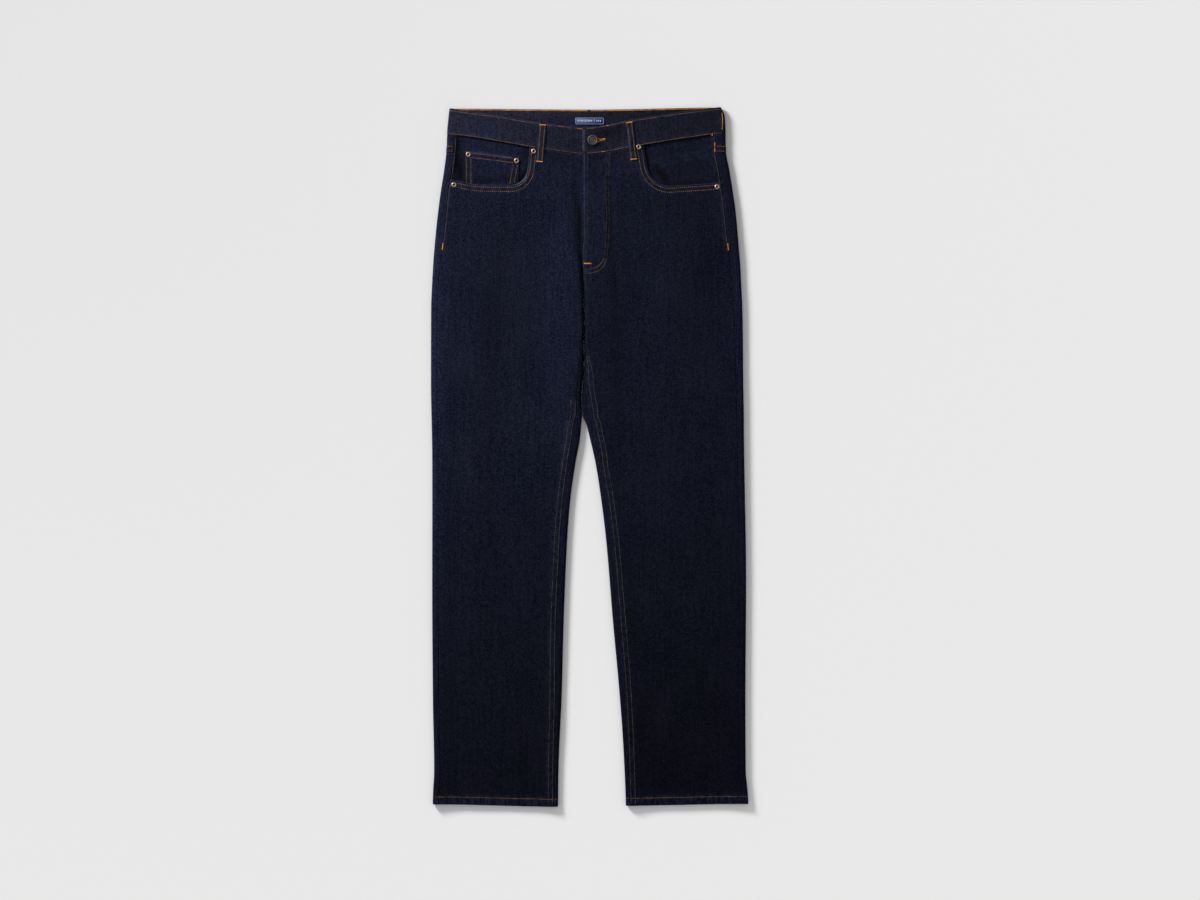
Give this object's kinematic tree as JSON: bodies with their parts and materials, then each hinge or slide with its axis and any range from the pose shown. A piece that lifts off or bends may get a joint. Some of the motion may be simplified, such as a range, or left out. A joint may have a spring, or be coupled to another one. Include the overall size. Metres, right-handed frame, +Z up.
{
  "type": "straight-leg jeans",
  "caption": "Dark indigo denim jeans with straight legs, scooped front pockets, a coin pocket and a buttoned fly, laid flat face up.",
  "frame": {"origin": "centre of the garment's outline, on the surface it lies on", "axes": "+X to the wearer's left, +Y from the hems to the waist, +Z up, out of the front"},
  "size_m": [0.5075, 1.1175, 0.0124],
  "materials": {
    "denim": "dark rinsed indigo denim, right-hand twill, matt",
    "waistband_denim": "the same denim, a little paler from its pressed layers",
    "thread": "tobacco and orange cotton-wrapped sewing thread",
    "woven_label": "navy woven label with a pale blue border, bare of lettering",
    "button_metal": "dark antiqued brass",
    "rivet_metal": "worn copper plate"
  },
  "bodies": {
    "root": {"front_right": "denim", "front_left": "denim", "back_right": "denim", "back_left": "denim", "yoke_right": "denim", "yoke_left": "denim", "waistband": "waistband_denim", "pocket_facing_right": "denim", "pocket_facing_left": "denim", "coin_pocket": "denim", "back_pocket_right": "denim", "back_pocket_left": "denim", "belt_loop_front_right": "denim", "belt_loop_front_left": "denim", "belt_loop_back_right": "denim", "belt_loop_back_middle": "denim", "belt_loop_back_left": "denim", "label": "woven_label", "button": "button_metal", "rivet_right_front": "rivet_metal", "rivet_right_side": "rivet_metal", "rivet_left_front": "rivet_metal", "rivet_left_side": "rivet_metal", "rivet_coin_side": "rivet_metal", "rivet_coin_front": "rivet_metal"}
  },
  "joints": []
}
